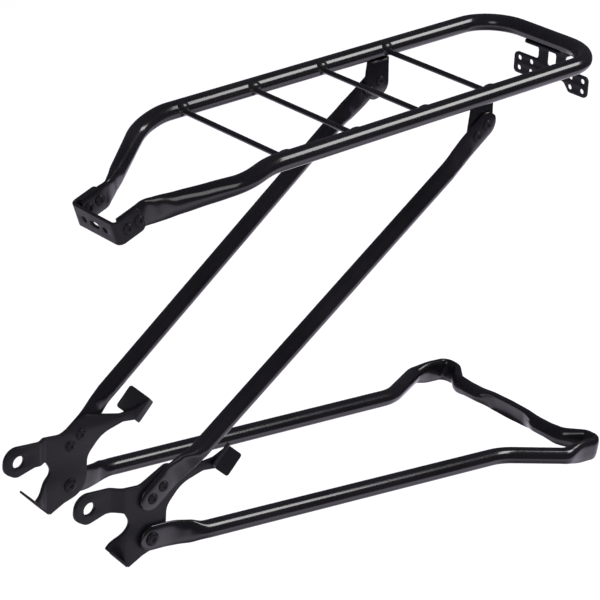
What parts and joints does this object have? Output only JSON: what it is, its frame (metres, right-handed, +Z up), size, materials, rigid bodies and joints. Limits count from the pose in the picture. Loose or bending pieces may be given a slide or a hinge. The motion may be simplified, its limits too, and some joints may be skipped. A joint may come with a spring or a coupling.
{
  "type": "bicycle rear carrier with stand",
  "caption": "Tubular steel rear carrier for a bicycle, with cross wires, flattened struts, axle plates and a swing-down two-legged stand.",
  "frame": {"origin": "on the wheel axle line, midway between the two axle ears", "axes": "+X to the rear of the bicycle, +Y to its right-hand side, +Z up"},
  "size_m": [0.6089, 0.227, 0.4189],
  "materials": {
    "black_enamel": "gloss",
    "charcoal_enamel": "satin"
  },
  "bodies": {
    "carrier": {"platform_hoop": "black_enamel", "cross_wire_1": "black_enamel", "cross_wire_2": "black_enamel", "cross_wire_3": "black_enamel", "cross_wire_4": "black_enamel", "front_bracket": "charcoal_enamel", "bracket_rivets_left": "charcoal_enamel", "bracket_rivets_right": "charcoal_enamel", "axle_plate_left": "charcoal_enamel", "axle_plate_right": "charcoal_enamel", "strut_tab_left": "black_enamel", "strut_tab_right": "black_enamel", "strut_left": "black_enamel", "strut_right": "black_enamel", "strut_foot_rivets_left": "charcoal_enamel", "strut_foot_rivets_right": "charcoal_enamel", "strut_head_rivets_left": "charcoal_enamel", "strut_head_rivets_right": "charcoal_enamel", "stand_pivot_left": "charcoal_enamel", "stand_pivot_right": "charcoal_enamel", "lamp_bracket": "charcoal_enamel"},
    "stand": {"stand": "black_enamel"}
  },
  "joints": [
    {"name": "stand_fold", "type": "hinge", "parent": "carrier", "child": "stand", "pos_m": [0.0589, 0, -0.047], "axis": [0, 1, 0], "range_deg": [-26, 113]}
  ]
}
